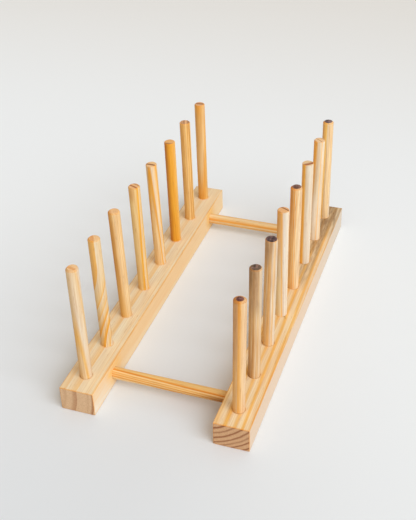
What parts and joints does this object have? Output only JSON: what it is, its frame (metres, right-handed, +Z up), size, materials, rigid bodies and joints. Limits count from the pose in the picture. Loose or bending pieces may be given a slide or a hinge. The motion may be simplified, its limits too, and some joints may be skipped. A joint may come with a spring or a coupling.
{
  "type": "plate rack",
  "caption": "Low table-top rack: flat rails joined by round stretchers, each rail carrying a row of upright pegs that hold plates on edge.",
  "frame": {"origin": "on the surface that the rack stands on, under the middle of the rack", "axes": "+Z up, +Y along the rails towards the rear, +X towards the right rail"},
  "size_m": [0.1586, 0.327, 0.1295],
  "materials": {
    "rail_pine": "planed and sanded, unfinished",
    "peg_pine": "turned and sanded, unfinished",
    "stretcher_pine": "turned and sanded, unfinished"
  },
  "bodies": {
    "root": {"left_rail": "rail_pine", "right_rail": "rail_pine", "left_peg_1": "peg_pine", "left_peg_2": "peg_pine", "left_peg_3": "peg_pine", "left_peg_4": "peg_pine", "left_peg_5": "peg_pine", "left_peg_6": "peg_pine", "left_peg_7": "peg_pine", "left_peg_8": "peg_pine", "right_peg_1": "peg_pine", "right_peg_2": "peg_pine", "right_peg_3": "peg_pine", "right_peg_4": "peg_pine", "right_peg_5": "peg_pine", "right_peg_6": "peg_pine", "right_peg_7": "peg_pine", "right_peg_8": "peg_pine", "front_stretcher": "stretcher_pine", "rear_stretcher": "stretcher_pine"}
  },
  "joints": []
}
